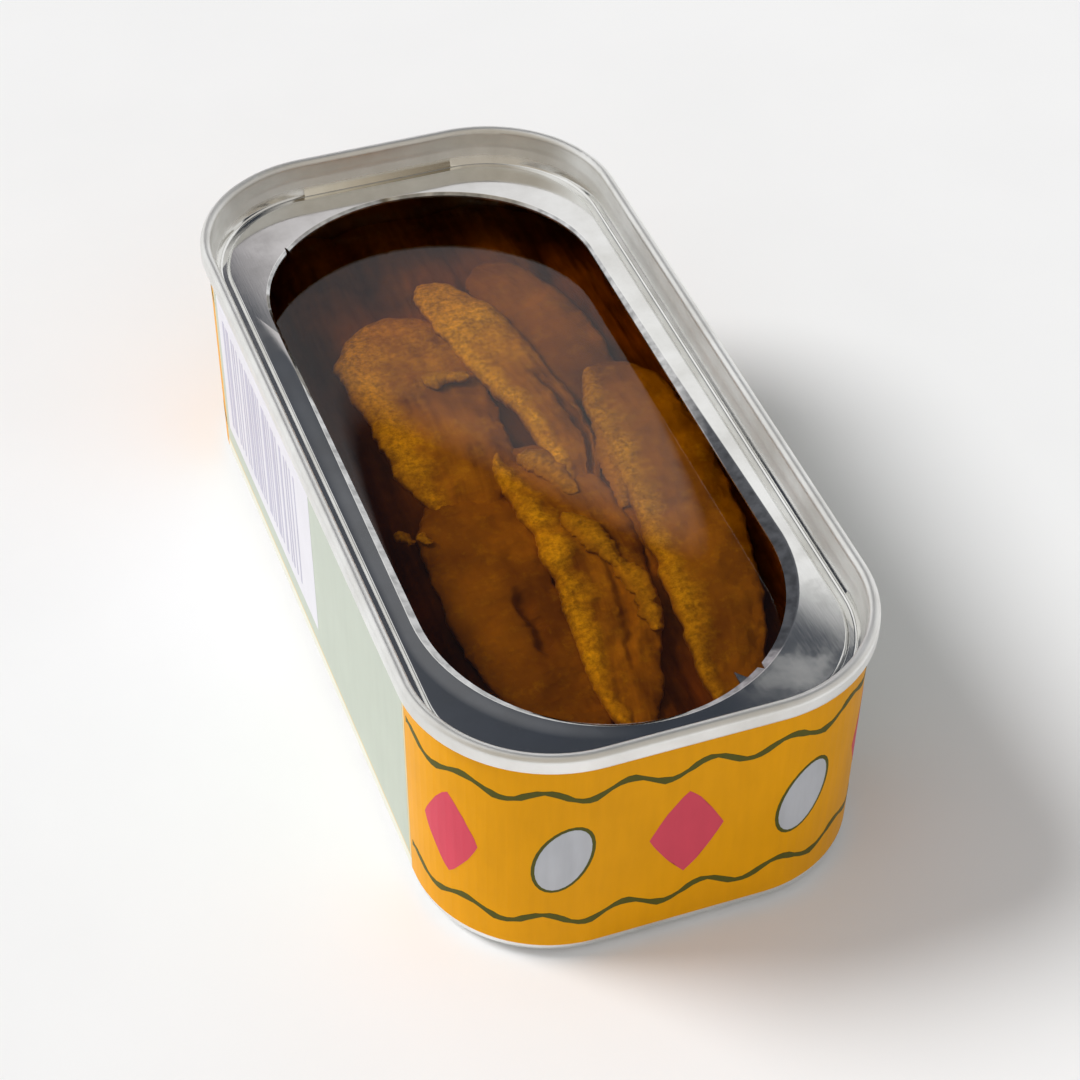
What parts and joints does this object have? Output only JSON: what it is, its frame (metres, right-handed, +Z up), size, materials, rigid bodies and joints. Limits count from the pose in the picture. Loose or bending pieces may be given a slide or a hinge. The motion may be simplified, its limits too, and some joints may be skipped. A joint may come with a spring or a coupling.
{
  "type": "tin of anchovies",
  "caption": "Opened oblong fish tin with a double-seamed rim, a torn lid ring and cured anchovy fillets lying in amber oil.",
  "frame": {"origin": "middle of the footprint, on the face that the tin stands on", "axes": "+Z up out of the opening, +Y along the long side, +X across the tin"},
  "size_m": [0.0514, 0.105, 0.0316],
  "materials": {
    "printed_wall": "glossy printed lacquer on drawn sheet",
    "bare_lid": "bright rolled sheet with fine scratches",
    "cured_fish": "moist cured fish under oil",
    "olive_oil": "clear amber oil, still and glossy"
  },
  "bodies": {
    "root": {"tin_body": "printed_wall", "lid_ring": "bare_lid", "packed_fillets": "cured_fish", "fillet_head_centre": "cured_fish", "fillet_left": "cured_fish", "fillet_ridge": "cured_fish", "fillet_right": "cured_fish", "fillet_far_right": "cured_fish", "fillet_near_left": "cured_fish", "oil": "olive_oil"}
  },
  "joints": []
}
